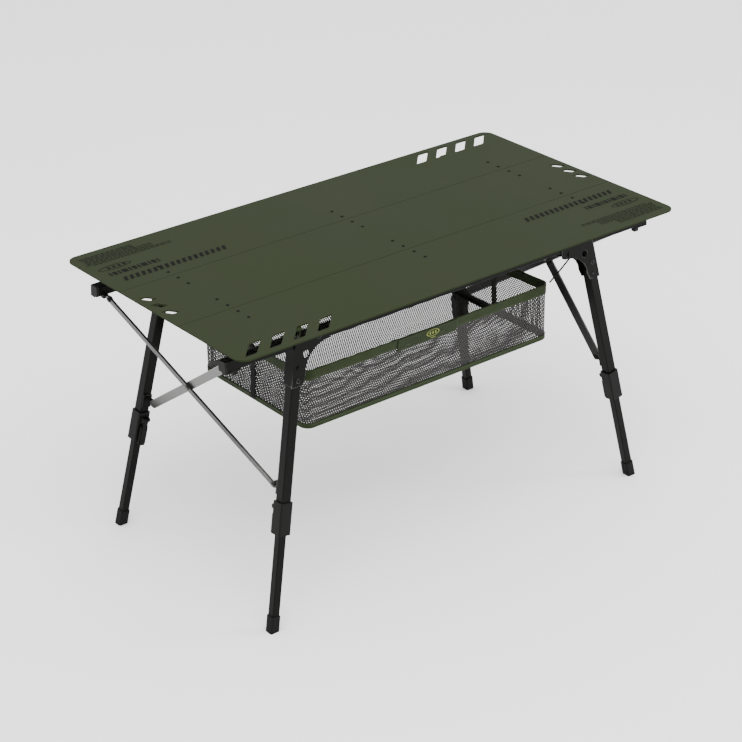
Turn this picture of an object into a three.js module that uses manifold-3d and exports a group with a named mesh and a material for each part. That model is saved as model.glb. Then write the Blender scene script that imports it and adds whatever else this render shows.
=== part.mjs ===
// Folding camp table: three-panel top on two rails, four telescopic legs,
// a crossed brace at each end and a net tray underneath.
// Millimetres. Origin on the ground under the centre, +X along the length, -Y the front, +Z up.
import * as THREE from "three";
import { mergeVertices } from "three/addons/utils/BufferGeometryUtils.js";
import Module from "manifold-3d";

const wasm = await Module();
wasm.setup();

// ---- driving dimensions ------------------------------------------------------------------
const GAP = 0.3;
// How far a joined piece sinks into the one that carries it.
const BITE = 0.1;
const TOP = { length: 1030, width: 550, z: 572, thick: 3, corner: 22, seamY: 91.7, seamGap: 1 };
const SLOT = { x0: 314, pitch: 51, y: 242.5, length: 39, width: 25, slant: 37, corner: 3 };
const END_HOLE = { x: 493, pitch: 35, length: 20, width: 15, slant: 13 };
const HINGE = { xs: [-400, 0, 400], width: 20, reach: 58, plate: 1.5, axisDrop: 3, barrel: 2.5 };
const HINGE_PIN = { r: 1.2, bore: 1.45, knuckle: 4, neck: 0.7 };
const RIVET = { offsets: [15.8, 47.3], shank: 1.9, head: 3.2, tail: 3.2, rise: 1.2 };
const RAIL = { half: 500, y: 200, z: 532, size: 20, wall: 1.5, corner: 2 };
const LEAN = THREE.MathUtils.degToRad(5.1);
const HANGER = { x: 365, y: 220, z: 552, pin: 2.5, pinHalf: 12, hole: 2.8, ear: 2, earIn: 8, arm: 6,
  plateX: 13, plateY: 12 };
const LEG = { u: 345, w: 10, footU: 450, footW: 534, size: 20, wall: 1.5, top: 2, end: 325 };
const INNER = { size: 15.5, wall: 1.4, top: 270, end: 521.7, corner: 1.8 };
const FOOT = { size: 19, corner: 3, top: 504, socket: 522, end: 540 };
const COLLAR = { size: 26, corner: 3, top: 286.6, step: 325.4, end: 347.8 };
const LEVER = { t: 300, n: 17.5, hub: 3.4, pin: 1.6, bore: 1.9, width: 14, end: 350, thick: 4,
  cheek: 3, eye: 5, padFrom: 14, padIn: 2.5, padOut: 5.5 };
const PIN_LEFT = { u: 305, w: 0 };
const PIN_RIGHT = { u: 295.5, w: 16 };
const LEG_PIN = { r: 3, hole: 3.3, head: 5, headThick: 1.8, reach: 12.6, lug: 8, lugDrop: 6 };
const PLATE = { inner: 10.3, thick: 2, inboard: 276, end: 80, top: -8, curve: 66, chamfer: 3, neck: 7 };
const PLATE_RIVET = { ws: [47, 70], r: 2.4, hole: 2.7, head: 4, rise: 1.6, bite: 0.2 };
const PLATE_WEB = { from: 3, to: 71 };
const CAP = { thick: 3, plug: 12, skirtIn: 8, skirtThick: 3, skirtN: 1.5,
  lugHalf: 5, lugOut: 9, lugTop: 3.2 };
const CORD_HOLE = { u: 334, w: 25, r: 7 };
const CLEVIS = { t: 262, n: 29.6, clear: 0.8, boss: 1.5, arm: 3, half: 4,
  footHalf: 9.5, footLength: 13, footThick: 2.5 };
const SWIVEL = { x: 480, y: 181, z: 516.5, hub: 4, pin: 2, bore: 2.3, near: 189.5, far: 197.2,
  eye: 4.5, ear: 2.6, head: 1.8, arm: 3.3, stem: 2 };
const BAR = { width: 16, thick: 4, offset: 2.5, pinHole: 2.3 };
const BRACE_RIVET = { head: 5, rise: 1.8, shank: 2 };
const TRAY = { x: 298, y: 160, bottom: 322, top: 436, wall: 2, corner: 18, band: 20, hem: 9 };
const LABEL = { x: 5, width: 118, drop: 38 };
const STRAP = { width: 14, thick: 1.6 };
const CORD = { r: 1.6 };
const SEGMENTS = 10;
const RIVET_SEGMENTS = 8;

// ---- small helpers -----------------------------------------------------------------------
const bare = (geometry) => {
  const copy = new THREE.BufferGeometry();
  copy.setAttribute("position", geometry.getAttribute("position").clone());
  if (geometry.index) copy.setIndex(geometry.index.clone());
  return mergeVertices(copy, 1e-4);
};

const toManifold = (geometry) => {
  const merged = bare(geometry);
  return new wasm.Manifold(new wasm.Mesh({
    numProp: 3,
    vertProperties: new Float32Array(merged.getAttribute("position").array),
    triVerts: new Uint32Array(merged.index.array),
  }));
};

const toGeometry = (manifold) => {
  const mesh = manifold.getMesh();
  const geometry = new THREE.BufferGeometry();
  geometry.setAttribute("position", new THREE.BufferAttribute(Float32Array.from(mesh.vertProperties), 3));
  geometry.setIndex(new THREE.BufferAttribute(Uint32Array.from(mesh.triVerts), 1));
  return geometry;
};

const join = (...pieces) => toGeometry(pieces.map(toManifold).reduce((sum, next) => sum.add(next)));

const cut = (base, ...tools) => toGeometry(
  tools.map(toManifold).reduce((rest, tool) => rest.subtract(tool), toManifold(base)),
);

const common = (a, b) => toGeometry(toManifold(a).intersect(toManifold(b)));

// A geometry moved into a frame; a mirrored frame has its triangles turned back outwards.
const placed = (geometry, matrix) => {
  const moved = bare(geometry).applyMatrix4(matrix);
  if (matrix.determinant() < 0) {
    const index = moved.index.array;
    for (let i = 0; i < index.length; i += 3) {
      [index[i], index[i + 1]] = [index[i + 1], index[i]];
    }
  }
  return moved;
};

const frameMatrix = (x, y, z, origin) => new THREE.Matrix4().makeBasis(x, y, z).setPosition(origin);

const box = (x, y, z) => new THREE.BoxGeometry(x[1] - x[0], y[1] - y[0], z[1] - z[0])
  .translate((x[0] + x[1]) / 2, (y[0] + y[1]) / 2, (z[0] + z[1]) / 2);

const polygon = (points) => new THREE.Shape(points.map(([a, b]) => new THREE.Vector2(a, b)));

const roundedRect = (width, height, radius) => {
  const [a, b] = [width / 2 - radius, height / 2 - radius];
  const shape = new THREE.Shape();
  shape.absarc(a, b, radius, 0, Math.PI / 2);
  shape.absarc(-a, b, radius, Math.PI / 2, Math.PI);
  shape.absarc(-a, -b, radius, Math.PI, 1.5 * Math.PI);
  shape.absarc(a, -b, radius, 1.5 * Math.PI, 2 * Math.PI);
  shape.closePath();
  return shape;
};

const extrude = (shape, from, to, curveSegments = 3) => new THREE.ExtrudeGeometry(
  shape,
  { depth: to - from, bevelEnabled: false, curveSegments },
).translate(0, 0, from);

// A solid cylinder along local x, y or z.
const rod = (axis, radius, from, to, at = [0, 0, 0], segments = SEGMENTS) => {
  const cylinder = new THREE.CylinderGeometry(radius, radius, to - from, segments);
  cylinder.translate(0, (from + to) / 2, 0);
  if (axis === "x") cylinder.rotateZ(-Math.PI / 2);
  if (axis === "z") cylinder.rotateX(Math.PI / 2);
  return cylinder.translate(...at);
};

// A square bar or tube running along local +y from one station to the next.
const alongY = (shape, from, to) => extrude(shape, from, to).rotateX(-Math.PI / 2);

const squareTube = (size, wall, corner, from, to) => {
  const shape = roundedRect(size, size, corner);
  shape.holes.push(roundedRect(size - 2 * wall, size - 2 * wall, Math.max(corner - wall, 0.5)));
  return alongY(shape, from, to);
};

const ordered = (a, b) => (a < b ? [a, b] : [b, a]);

const SIDES = { front: -1, rear: 1 };
const ENDS = { left: -1, right: 1 };

// ---- frames ------------------------------------------------------------------------------
// Rail frame: x outboard, y down the leaning leg plane, z its outward normal.
const railFrame = (end, side) => frameMatrix(
  new THREE.Vector3(end, 0, 0),
  new THREE.Vector3(0, side * Math.sin(LEAN), -Math.cos(LEAN)),
  new THREE.Vector3(0, side * Math.cos(LEAN), Math.sin(LEAN)),
  new THREE.Vector3(0, side * RAIL.y, RAIL.z),
);

// Leg frame inside the rail frame: x across the leg, y down along it, z outward.
const legDirection = new THREE.Vector2(LEG.footU - LEG.u, LEG.footW - LEG.w).normalize();
const legInRail = frameMatrix(
  new THREE.Vector3(legDirection.y, -legDirection.x, 0),
  new THREE.Vector3(legDirection.x, legDirection.y, 0),
  new THREE.Vector3(0, 0, 1),
  new THREE.Vector3(LEG.u, LEG.w, 0),
);
const legFrame = (end, side) => railFrame(end, side).multiply(legInRail);

// Brace frame: x along +Y, y down from the swivels to the clevises, z the outboard normal.
const clevisPoint = new THREE.Vector3(0, CLEVIS.t, -CLEVIS.n).applyMatrix4(legFrame(1, 1));
const braceDrop = new THREE.Vector2(clevisPoint.x - SWIVEL.x, clevisPoint.z - SWIVEL.z);
const braceLength = braceDrop.length();
const braceDown = braceDrop.clone().normalize();
const braceFrame = (end) => frameMatrix(
  new THREE.Vector3(0, 1, 0),
  new THREE.Vector3(end * braceDown.x, 0, braceDown.y),
  new THREE.Vector3(-end * braceDown.y, 0, braceDown.x),
  new THREE.Vector3(end * SWIVEL.x, 0, SWIVEL.z),
);
// The bar on the rear leg lies on the inner side, the bar on the front leg on the outer side.
const barOffset = (legSide) => -legSide * BAR.offset;

// ---- tabletop ----------------------------------------------------------------------------
const plateBottom = TOP.z - TOP.thick;
const plate = (shape) => extrude(shape, plateBottom, TOP.z, 5);

const slantedHole = (x, y, width, length, slant, corner) => {
  const c = corner;
  const shape = new THREE.Shape();
  const lean = slant / 2;
  const run = slant * c / length;
  shape.moveTo(-lean - width / 2 + c, -length / 2);
  shape.lineTo(-lean + width / 2 - c, -length / 2);
  shape.quadraticCurveTo(-lean + width / 2, -length / 2, -lean + width / 2 + run, -length / 2 + c);
  shape.lineTo(lean + width / 2 - run, length / 2 - c);
  shape.quadraticCurveTo(lean + width / 2, length / 2, lean + width / 2 - c, length / 2);
  shape.lineTo(lean - width / 2 + c, length / 2);
  shape.quadraticCurveTo(lean - width / 2, length / 2, lean - width / 2 - run, length / 2 - c);
  shape.lineTo(-lean - width / 2 + run, -length / 2 + c);
  shape.quadraticCurveTo(-lean - width / 2, -length / 2, -lean - width / 2 + c, -length / 2);
  return extrude(shape, plateBottom - 1, TOP.z + 1, 2).translate(x, y, 0);
};

const middleSheet = () => {
  const half = TOP.seamY - TOP.seamGap / 2;
  const sheet = plate(polygon([
    [-TOP.length / 2, -half],
    [TOP.length / 2, -half],
    [TOP.length / 2, half],
    [-TOP.length / 2, half],
  ]));
  const holes = [-1, 1].flatMap((end) => [-1, 0, 1].map((row) => slantedHole(
    end * END_HOLE.x,
    row * END_HOLE.pitch,
    END_HOLE.width,
    END_HOLE.length,
    -END_HOLE.slant,
    2,
  )));
  return cut(sheet, ...holes);
};

// The outer sheet on the +y side.
const outerSheet = () => {
  const [x, edge, seam, r] = [TOP.length / 2, TOP.width / 2, TOP.seamY + TOP.seamGap / 2, TOP.corner];
  const shape = new THREE.Shape();
  shape.moveTo(-x, seam);
  shape.lineTo(x, seam);
  shape.lineTo(x, edge - r);
  shape.absarc(x - r, edge - r, r, 0, Math.PI / 2);
  shape.absarc(-x + r, edge - r, r, Math.PI / 2, Math.PI);
  shape.closePath();
  const slots = [0, 1, 2, 3].map((i) => slantedHole(
    SLOT.x0 + i * SLOT.pitch,
    SLOT.y,
    SLOT.width,
    SLOT.length,
    SLOT.slant,
    SLOT.corner,
  ));
  return cut(plate(shape), ...slots);
};

// ---- hinges ------------------------------------------------------------------------------
const hingeAxisZ = plateBottom - HINGE.axisDrop;

const rivet = (y) => {
  const leafBottom = plateBottom - HINGE.plate;
  const profile = [
    [0, leafBottom - RIVET.rise],
    [RIVET.tail, leafBottom - RIVET.rise],
    [RIVET.tail, leafBottom + BITE],
    [RIVET.shank, leafBottom + BITE],
    [RIVET.shank, TOP.z - BITE],
    [RIVET.head, TOP.z - BITE],
    [0, TOP.z + RIVET.rise],
  ].map(([r, z]) => new THREE.Vector2(r, z));
  return new THREE.LatheGeometry(profile, RIVET_SEGMENTS).rotateX(Math.PI / 2).translate(0, y, 0);
};

// One leaf with its rivets, reaching towards +y from the hinge line; spans are its knuckles along x.
const hingeLeaf = (spans) => {
  const top = plateBottom + BITE;
  const half = HINGE.width / 2;
  const strip = box([-half, half], [HINGE.barrel + HINGE_PIN.neck, HINGE.reach], [top - HINGE.plate, top]);
  const knuckles = spans.flatMap(([from, to]) => [
    rod("x", HINGE.barrel, from, to, [0, 0, hingeAxisZ]),
    box([from, to], [0, HINGE.barrel + 1], [top - HINGE.plate, plateBottom - GAP]),
  ]);
  const bore = rod("x", HINGE_PIN.bore, -half - 1, half + 1, [0, 0, hingeAxisZ]);
  return join(cut(join(strip, ...knuckles), bore), ...RIVET.offsets.map(rivet));
};

const knuckleEdge = HINGE_PIN.knuckle;
const outerSpans = [[-HINGE.width / 2, -knuckleEdge], [knuckleEdge, HINGE.width / 2]];
const innerSpans = [[-knuckleEdge + GAP, knuckleEdge - GAP]];

const hingePin = (x, side) => rod(
  "x",
  HINGE_PIN.r,
  -HINGE.width / 2,
  HINGE.width / 2,
  [x, side * TOP.seamY, hingeAxisZ],
);

// ---- rails -------------------------------------------------------------------------------
// A side profile in (y, z) made into a plate across x.
const profilePlate = (points, from, to, side) => {
  const geometry = extrude(polygon(points), from, to);
  const matrix = frameMatrix(
    new THREE.Vector3(0, side, 0),
    new THREE.Vector3(0, 0, 1),
    new THREE.Vector3(1, 0, 0),
    new THREE.Vector3(),
  );
  return placed(geometry, matrix);
};

// The headed pin that a leg bracket turns on, pressed through the rail.
const legPin = (x, y) => {
  const out = LEG_PIN.reach;
  return join(
    rod("z", LEG_PIN.r, -out - 0.5, out + 0.5, [x, y, 0]),
    rod("z", LEG_PIN.head, out, out + LEG_PIN.headThick, [x, y, 0]),
    rod("z", LEG_PIN.head, -out - LEG_PIN.headThick, -out, [x, y, 0]),
  );
};

const railBody = (side) => {
  const shape = roundedRect(RAIL.size, RAIL.size, RAIL.corner);
  const bore = RAIL.size - 2 * RAIL.wall;
  shape.holes.push(roundedRect(bore, bore, RAIL.corner - 1));
  const tube = extrude(shape, -RAIL.half, RAIL.half).rotateY(Math.PI / 2);
  const lug = box(
    [PIN_RIGHT.u - LEG_PIN.lug, PIN_RIGHT.u + LEG_PIN.lug],
    [RAIL.size / 2 - 0.5, PIN_RIGHT.w + LEG_PIN.lugDrop],
    [-RAIL.size / 2 + GAP, RAIL.size / 2 - GAP],
  );
  const pins = [legPin(-PIN_LEFT.u, PIN_LEFT.w), legPin(PIN_RIGHT.u, PIN_RIGHT.w)];
  const beam = placed(join(tube, lug, ...pins), railFrame(1, side));
  const arms = Object.values(ENDS).flatMap((end) => {
    const x = end * HANGER.x;
    const arm = profilePlate([
      [193, RAIL.z + 9],
      [207, RAIL.z + 9.6],
      [HANGER.y + 6, HANGER.z - 5],
      [HANGER.y + 6, HANGER.z + 4],
      [HANGER.y + 3, HANGER.z + 6],
      [HANGER.y - 4, HANGER.z + 6],
      [193, RAIL.z + 15],
    ], x - HANGER.arm, x + HANGER.arm, side);
    const pin = rod("x", HANGER.pin, x - HANGER.pinHalf, x + HANGER.pinHalf, [0, side * HANGER.y, HANGER.z]);
    return [arm, pin];
  });
  return join(beam, ...arms);
};

const panelBracket = (end, side) => {
  const [x, top] = [end * HANGER.x, plateBottom + BITE];
  const outline = [
    [HANGER.y - 8, top],
    [HANGER.y - 6, HANGER.z - 3],
    [HANGER.y - 3, HANGER.z - 6],
    [HANGER.y + 3, HANGER.z - 6],
    [HANGER.y + 6, HANGER.z - 3],
    [HANGER.y + 8, top],
  ];
  const base = box(
    [x - HANGER.plateX, x + HANGER.plateX],
    [HANGER.y - HANGER.plateY, HANGER.y + HANGER.plateY],
    [top - HINGE.plate, top],
  );
  if (side < 0) base.rotateZ(Math.PI).translate(2 * x, 0, 0);
  const ears = [-1, 1].map((way) => {
    const [from, to] = ordered(x + way * HANGER.earIn, x + way * (HANGER.earIn + HANGER.ear));
    return profilePlate(outline, from, to, side);
  });
  const hole = rod("x", HANGER.hole, x - 15, x + 15, [0, side * HANGER.y, HANGER.z]);
  return cut(join(base, ...ears), hole);
};

const middlePanel = () => {
  const rows = Object.values(SIDES).flatMap((side) => HINGE.xs.map((x) => {
    const leaf = hingeLeaf(outerSpans);
    if (side > 0) leaf.rotateZ(Math.PI);
    return leaf.translate(x, side * TOP.seamY, 0);
  }));
  return join(middleSheet(), ...rows);
};

const outerPanel = (side) => {
  const rows = HINGE.xs.map((x) => hingeLeaf(innerSpans).translate(x, TOP.seamY, 0));
  const sheet = join(outerSheet(), ...rows);
  if (side < 0) sheet.rotateZ(Math.PI);
  return join(sheet, panelBracket(-1, side), panelBracket(1, side));
};

// The plastic plug in a rail's end, with the swivel's pin on its inner side.
const endCap = (end, side) => {
  const r = RAIL.size / 2;
  const outside = RAIL.half + GAP + CAP.thick;
  const flange = extrude(roundedRect(RAIL.size, RAIL.size, RAIL.corner), RAIL.half + GAP, outside);
  const plugSize = RAIL.size - 2 * RAIL.wall - 2 * GAP;
  const plug = extrude(roundedRect(plugSize, plugSize, 1), RAIL.half - CAP.plug, RAIL.half + 1);
  const skirt = box([SWIVEL.x - CAP.skirtIn, outside], [r - 1, r + CAP.skirtThick], [-CAP.skirtN, r]);
  const railRoom = box([SWIVEL.x - CAP.skirtIn - 1, RAIL.half + GAP], [0, r + GAP], [-r, r + 1]);
  const shell = join(flange.rotateY(Math.PI / 2), cut(skirt, railRoom), plug.rotateY(Math.PI / 2));
  const near = SWIVEL.far + GAP;
  const lug = box(
    [end * SWIVEL.x - CAP.lugHalf, end * SWIVEL.x + CAP.lugHalf],
    ordered(side * near, side * (near + CAP.lugOut)),
    [SWIVEL.z - CAP.lugHalf, SWIVEL.z + CAP.lugTop],
  );
  const [from, to] = ordered(side * (SWIVEL.near - GAP), side * (near + 1));
  const pin = rod("y", SWIVEL.pin, from, to, [end * SWIVEL.x, 0, SWIVEL.z]);
  return join(placed(shell, railFrame(end, side)), lug, pin);
};

// ---- legs --------------------------------------------------------------------------------
const pinFor = (end) => (end < 0 ? PIN_LEFT : PIN_RIGHT);

const bracketOutline = (end) => {
  const strip = end < 0 ? RAIL.size / 2 : PIN_RIGHT.w + PLATE.neck;
  const slope = legDirection.x / legDirection.y;
  const legEdge = (w, across) => LEG.u + (w - LEG.w) * slope + across;
  const half = PLATE.inner + PLATE.thick;
  const inner = legEdge(PLATE.end, -half);
  const centre = new THREE.Vector2(PLATE.inboard + 2 * PLATE.chamfer, PLATE.curve);
  const [a, b] = [inner - PLATE.neck - centre.x, PLATE.curve - strip];
  const steps = 6;
  const curve = Array.from({ length: steps + 1 }, (_, i) => {
    const angle = (i / steps) * (Math.PI / 2);
    return [centre.x + a * Math.sin(angle), centre.y - b * Math.cos(angle)];
  });
  return polygon([
    [PLATE.inboard, PLATE.top + PLATE.chamfer],
    [PLATE.inboard + PLATE.chamfer, PLATE.top],
    [legEdge(PLATE.top, half) - PLATE.chamfer, PLATE.top],
    [legEdge(PLATE.top, half), PLATE.top + PLATE.chamfer],
    [legEdge(PLATE.end, half), PLATE.end],
    [inner, PLATE.end],
    ...curve.reverse(),
    [PLATE.inboard, strip - PLATE.chamfer],
  ]);
};

const plateRivetStations = PLATE_RIVET.ws.map((w) => (w - LEG.w) / legDirection.y);

const legBracket = (end, side) => {
  const outline = bracketOutline(end);
  const [near, far] = [PLATE.inner, PLATE.inner + PLATE.thick];
  const plates = [extrude(outline, near, far), extrude(outline, -far, -near)];
  const web = box([near, far], [PLATE_WEB.from, PLATE_WEB.to], [-far, far]);
  const [headIn, headOut] = [far - PLATE_RIVET.bite, far + PLATE_RIVET.rise];
  const rivets = plateRivetStations.flatMap((t) => [
    rod("z", PLATE_RIVET.r, -far, far, [0, t, 0]),
    rod("z", PLATE_RIVET.head, headIn, headOut, [0, t, 0]),
    rod("z", PLATE_RIVET.head, -headOut, -headIn, [0, t, 0]),
  ]);
  const pin = pinFor(end);
  const holes = [
    rod("z", LEG_PIN.hole, -20, 20, [pin.u, pin.w, 0]),
    rod("z", CORD_HOLE.r, -20, 20, [CORD_HOLE.u, CORD_HOLE.w, 0], 20),
  ];
  const upright = placed(join(web, ...rivets), legInRail);
  return placed(join(cut(join(...plates), ...holes), upright), railFrame(end, side));
};

const outerLeg = (end, side) => {
  const tube = squareTube(LEG.size, LEG.wall, 2, LEG.top, LEG.end);
  const holes = plateRivetStations.map((t) => rod("z", PLATE_RIVET.hole, -LEG.size, LEG.size, [0, t, 0]));
  return placed(cut(tube, ...holes), legFrame(end, side));
};

const innerLeg = (end, side) => placed(
  squareTube(INNER.size, INNER.wall, INNER.corner, INNER.top, INNER.end),
  legFrame(end, side),
);

const foot = (end, side) => {
  const body = alongY(roundedRect(FOOT.size, FOOT.size, FOOT.corner), FOOT.top, FOOT.end);
  const bore = INNER.size + 2 * GAP;
  const socket = alongY(roundedRect(bore, bore, INNER.corner), FOOT.top - 1, FOOT.socket);
  const cup = placed(cut(body, socket), legFrame(end, side));
  return common(cup, box([-TOP.length, TOP.length], [-TOP.width, TOP.width], [0, TOP.z]));
};

const collar = (end, side) => {
  const body = alongY(roundedRect(COLLAR.size, COLLAR.size, COLLAR.corner), COLLAR.top, COLLAR.end);
  const ears = [-1, 1].map((way) => {
    const inside = LEVER.width / 2 - 2;
    const xs = ordered(way * inside, way * (inside + LEVER.cheek));
    return join(
      box(xs, [LEVER.t - LEVER.eye, LEVER.t + LEVER.eye], [-LEVER.n, -COLLAR.size / 2 + 1]),
      rod("x", LEVER.eye, xs[0], xs[1], [0, LEVER.t, -LEVER.n]),
    );
  });
  const pin = rod("x", LEVER.pin, -LEVER.width / 2, LEVER.width / 2, [0, LEVER.t, -LEVER.n]);
  const upper = LEG.size + 2 * GAP;
  const lower = INNER.size + 2 * GAP;
  const bores = [
    alongY(roundedRect(upper, upper, 2), COLLAR.top - 1, COLLAR.step),
    alongY(roundedRect(lower, lower, INNER.corner), COLLAR.step - 1, COLLAR.end + 1),
  ];
  return placed(cut(join(body, ...ears, pin), ...bores), legFrame(end, side));
};

const lever = (end, side) => {
  const half = LEVER.width / 2 - 2 - GAP;
  const inner = COLLAR.size / 2 + GAP;
  const outline = polygon([
    [LEVER.t + 1, -inner - 0.2],
    [LEVER.t + 1, -LEVER.n - LEVER.hub],
    [LEVER.end - 12, -inner - LEVER.thick - 2.2],
    [LEVER.end + 2, -inner - LEVER.thick - 5],
    [LEVER.end + 3, -inner - LEVER.thick - 2],
    [LEVER.end - 10, -inner - 0.8],
  ]);
  const toLever = frameMatrix(
    new THREE.Vector3(0, 1, 0),
    new THREE.Vector3(0, 0, 1),
    new THREE.Vector3(1, 0, 0),
    new THREE.Vector3(),
  );
  const arm = placed(extrude(outline, -half, half), toLever);
  const pad = box(
    [-LEVER.width / 2 - 1, LEVER.width / 2 + 1],
    [LEVER.t + LEVER.padFrom, LEVER.end],
    [-inner - LEVER.padOut, -inner - LEVER.padIn],
  );
  const hub = rod("x", LEVER.hub, -half, half, [0, LEVER.t, -LEVER.n]);
  const bore = rod("x", LEVER.bore, -half - 1, half + 1, [0, LEVER.t, -LEVER.n]);
  return placed(cut(join(arm, pad, hub), bore), legFrame(end, side));
};

// ---- braces ------------------------------------------------------------------------------
// The arm on a leg that holds the lower end of a bar; it lies inboard of the bar.
const clevis = (end, side) => {
  const face = barOffset(side) - BAR.thick / 2 - CLEVIS.clear;
  const [cx, cy] = [clevisPoint.y * side, braceLength];
  const armZ = [face - CLEVIS.boss - CLEVIS.arm, face - CLEVIS.boss];
  const reach = CLEVIS.n - LEG.size / 2 - 2 * CLEVIS.footThick / 3;
  const arm = placed(join(
    box(ordered(cx, cx + side * reach), [cy - CLEVIS.half, cy + CLEVIS.half], armZ),
    rod("z", CLEVIS.half, armZ[0], face, [cx, cy, 0]),
  ), braceFrame(end));
  const inner = LEG.size / 2 + GAP;
  const base = box(
    [-CLEVIS.footHalf, CLEVIS.footHalf],
    [CLEVIS.t - CLEVIS.footLength, CLEVIS.t + CLEVIS.footLength],
    [-inner - CLEVIS.footThick, -inner],
  );
  return join(placed(base, legFrame(end, side)), arm);
};

// The eye that hangs a bar's upper end from the pin on a rail cap.
const swivel = (end, side) => {
  const offset = barOffset(-side);
  const way = -Math.sign(offset);
  const half = BAR.thick / 2 + GAP;
  const earZ = ordered(offset + way * half, offset + way * (half + SWIVEL.ear));
  const headZ = ordered(offset - way * half, offset - way * (half + SWIVEL.head));
  const stemZ = ordered(offset + way * (half + 1), offset - way * (half + 1));
  const at = side * SWIVEL.y;
  const turned = frameMatrix(
    new THREE.Vector3(1, 0, 0),
    new THREE.Vector3(0, side, 0),
    new THREE.Vector3(0, 0, 1),
    new THREE.Vector3(end * SWIVEL.x, 0, SWIVEL.z),
  );
  const hub = placed(rod("y", SWIVEL.hub, SWIVEL.near, SWIVEL.far), turned);
  const ear = placed(join(
    box(ordered(at, side * (SWIVEL.near + 1.5)), [-SWIVEL.arm, SWIVEL.arm], earZ),
    rod("z", SWIVEL.eye, earZ[0], earZ[1], [at, 0, 0]),
    rod("z", SWIVEL.eye, headZ[0], headZ[1], [at, 0, 0]),
    rod("z", SWIVEL.stem, ...stemZ, [at, 0, 0]),
  ), braceFrame(end));
  const bore = placed(rod("y", SWIVEL.bore, SWIVEL.near - GAP, SWIVEL.far + 1), turned);
  return cut(join(hub, ear), bore);
};

// A flat bar from the swivel on one rail to the leg on the other side.
const bar = (end, legSide) => {
  const start = new THREE.Vector2(-legSide * SWIVEL.y, 0);
  const finish = new THREE.Vector2(legSide * clevisPoint.y, braceLength);
  const run = finish.clone().sub(start);
  const across = new THREE.Vector2(-run.y, run.x).normalize().multiplyScalar(BAR.width / 2);
  const z = [barOffset(legSide) - BAR.thick / 2, barOffset(legSide) + BAR.thick / 2];
  const blade = extrude(polygon([
    [start.x + across.x, start.y + across.y],
    [start.x - across.x, start.y - across.y],
    [finish.x - across.x, finish.y - across.y],
    [finish.x + across.x, finish.y + across.y],
  ]), z[0], z[1]);
  const tips = [start, finish].map((p) => rod("z", BAR.width / 2, z[0], z[1], [p.x, p.y, 0], 20));
  const crossing = start.clone().addScaledVector(run, -start.x / run.x);
  const at = (p, r, from, to) => rod("z", r, from, to, [p.x, p.y, 0]);
  const hole = (p) => at(p, BAR.pinHole, -BAR.width, BAR.width);
  const head = (p) => at(p, BRACE_RIVET.head, z[1] - BITE, z[1] + BRACE_RIVET.rise);
  const blank = join(blade, ...tips, head(finish));
  // The outer bar carries the crossing's outer rivet head; the inner bar is drilled for the inner rivet.
  const finished = legSide < 0
    ? join(cut(blank, hole(start)), head(crossing))
    : cut(blank, hole(start), hole(crossing));
  return placed(finished, braceFrame(end));
};

// The inner rivet where the bars cross; it stops short of the outer bar.
const braceRivet = (end) => {
  const down = braceLength * SWIVEL.y / (SWIVEL.y + clevisPoint.y);
  const face = -BAR.offset - BAR.thick / 2 - GAP;
  return placed(join(
    rod("z", BRACE_RIVET.shank, face - BITE, 0, [0, down, 0]),
    rod("z", BRACE_RIVET.head, face - BRACE_RIVET.rise, face, [0, down, 0]),
  ), braceFrame(end));
};

// ---- net tray ----------------------------------------------------------------------------
const trayShell = (grow, wall, from, to, corner) => {
  const outer = roundedRect(2 * (TRAY.x + grow), 2 * (TRAY.y + grow), corner + grow);
  outer.holes.push(roundedRect(
    2 * (TRAY.x + grow - wall),
    2 * (TRAY.y + grow - wall),
    corner + grow - wall,
  ));
  return extrude(outer, from, to, 5);
};

const trayNet = () => {
  const outer = extrude(roundedRect(2 * TRAY.x, 2 * TRAY.y, TRAY.corner), TRAY.bottom, TRAY.top - 1, 5);
  const inside = [2 * (TRAY.x - TRAY.wall), 2 * (TRAY.y - TRAY.wall), TRAY.corner - TRAY.wall];
  return cut(outer, extrude(roundedRect(...inside), TRAY.bottom + TRAY.wall, TRAY.top + 1, 5));
};

// The upright webbing at the middle of each end, sewn to both bands.
const trayStrap = (end) => {
  const near = TRAY.x + GAP + BITE;
  const body = box([near, near + STRAP.thick], [-STRAP.width / 2, STRAP.width / 2], [TRAY.bottom, TRAY.top]);
  return end > 0 ? body : body.rotateZ(Math.PI);
};

const trayBinding = () => {
  const [grow, thick] = [GAP + 1.2, 1.2];
  const topBand = trayShell(grow, thick, TRAY.top - TRAY.band, TRAY.top, TRAY.corner);
  const hem = trayShell(grow, thick, TRAY.bottom, TRAY.bottom + TRAY.hem, TRAY.corner);
  const face = -TRAY.y - GAP;
  const label = box(
    [LABEL.x - LABEL.width / 2, LABEL.x + LABEL.width / 2],
    [face - thick, face],
    [TRAY.top - LABEL.drop, TRAY.top - 1],
  );
  return join(topBand, label, hem, trayStrap(-1), trayStrap(1));
};

// A short cord from a tray corner up to the round hole in the leg bracket.
const cordEnds = () => {
  const hole = new THREE.Vector3(CORD_HOLE.u, CORD_HOLE.w + 2, -PLATE.inner - PLATE.thick - 3)
    .applyMatrix4(railFrame(1, 1));
  const corner = new THREE.Vector3(TRAY.x - 1, TRAY.y - 1, TRAY.top + 3.5);
  return [corner, hole];
};

const trayCord = (end, side) => {
  const [from, to] = cordEnds();
  const path = new THREE.LineCurve3(from, to);
  const ring = new THREE.Shape();
  ring.absarc(0, 0, CORD.r, 0, 2 * Math.PI);
  const geometry = new THREE.ExtrudeGeometry(ring, { extrudePath: path, steps: 1, curveSegments: 4 });
  return placed(geometry, new THREE.Matrix4().makeScale(end, side, 1));
};

// ---- assembly ----------------------------------------------------------------------------
const COLOURS = {
  olive: 0x424b33,
  black: 0x1d1f1c,
  rubber: 0x262725,
  gunmetal: 0x6e706c,
  steel: 0x8a8a86,
  net: 0x8a8378,
  binding: 0x2f3821,
  webbing: 0x141513,
};

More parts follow.
